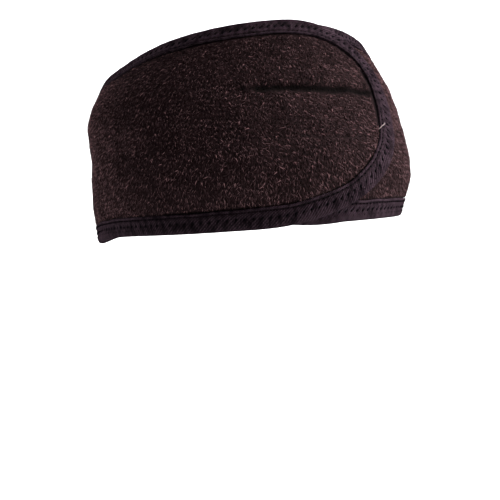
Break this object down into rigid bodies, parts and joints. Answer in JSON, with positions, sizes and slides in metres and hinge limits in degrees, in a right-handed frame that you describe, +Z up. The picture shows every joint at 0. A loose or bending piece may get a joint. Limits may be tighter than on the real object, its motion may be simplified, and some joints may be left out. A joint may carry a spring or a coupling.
{
  "type": "adjustable towelling headband",
  "caption": "Wide towelling headband with a bound edge, closed to a loop by a round-ended tab that laps over the forehead and grips with a hidden patch of hook tape.",
  "frame": {"origin": "middle of the head opening, half way up the loop, where a head holds the band", "axes": "+Z up the loop's axis, the wearer faces -Y and the wearer's left is +X"},
  "size_m": [0.1588, 0.193, 0.0918],
  "materials": {
    "towelling": "dark brown-black cotton towelling with a short looped pile, matt",
    "binding": "black stretch-knit binding, smooth and slightly sheened",
    "hook_tape": "black woven hook tape"
  },
  "bodies": {
    "root": {"terry_band": "towelling", "edge_binding": "binding", "hook_tape": "hook_tape"}
  },
  "joints": []
}
